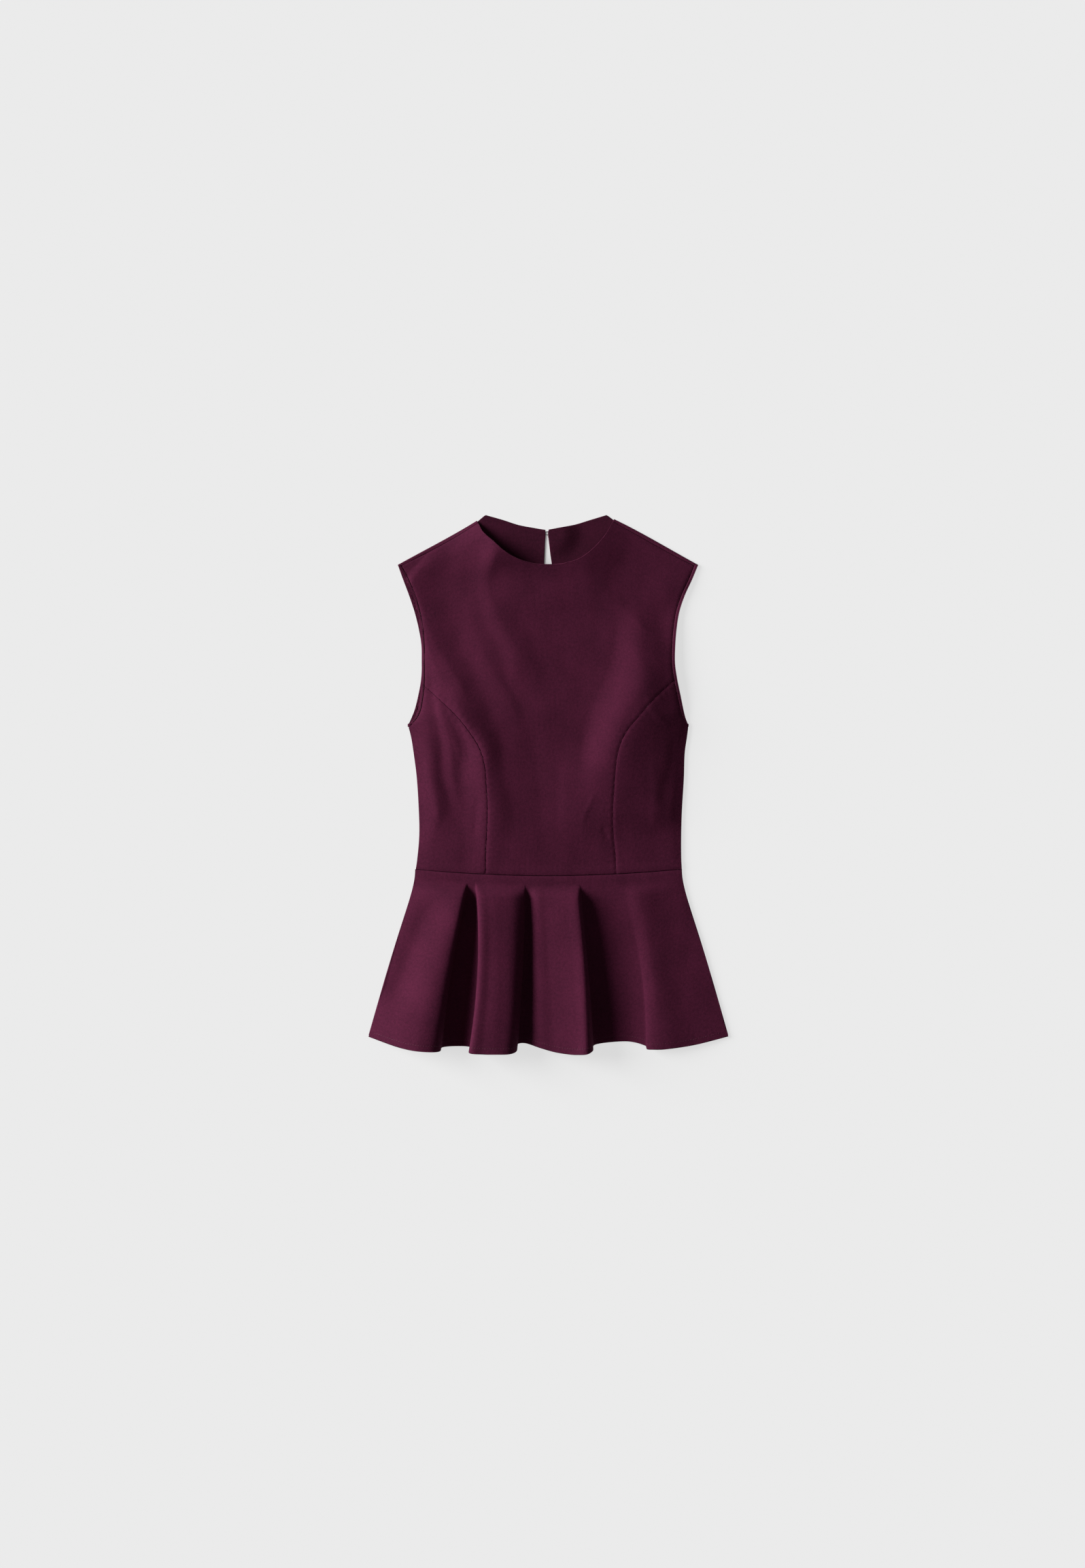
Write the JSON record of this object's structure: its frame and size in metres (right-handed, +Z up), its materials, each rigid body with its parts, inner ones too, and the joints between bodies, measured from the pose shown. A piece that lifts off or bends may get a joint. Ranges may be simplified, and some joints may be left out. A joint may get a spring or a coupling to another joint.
{
  "type": "peplum top",
  "caption": "Sleeveless top laid flat, with a high scooped neck, princess seams, a waist seam and a flared peplum that falls in flutes.",
  "frame": {"origin": "on the surface the top lies on, under the middle of its bounding box", "axes": "+X to the wearer's left, +Y to the neck, +Z up, away from the surface, with the front of the top facing up"},
  "size_m": [0.4418, 0.6604, 0.0308],
  "materials": {
    "cloth": "matt plum crepe with a fine close weave and a faint soft sheen",
    "button": "small glossy dark plum button",
    "loop": "thin dark elastic loop"
  },
  "bodies": {
    "root": {"front_centre": "cloth", "front_side_left": "cloth", "front_side_right": "cloth", "back_left": "cloth", "back_right": "cloth", "peplum_front": "cloth", "peplum_back": "cloth", "armhole_binding_left": "cloth", "armhole_binding_right": "cloth", "neck_button": "button", "neck_loop": "loop"}
  },
  "joints": []
}
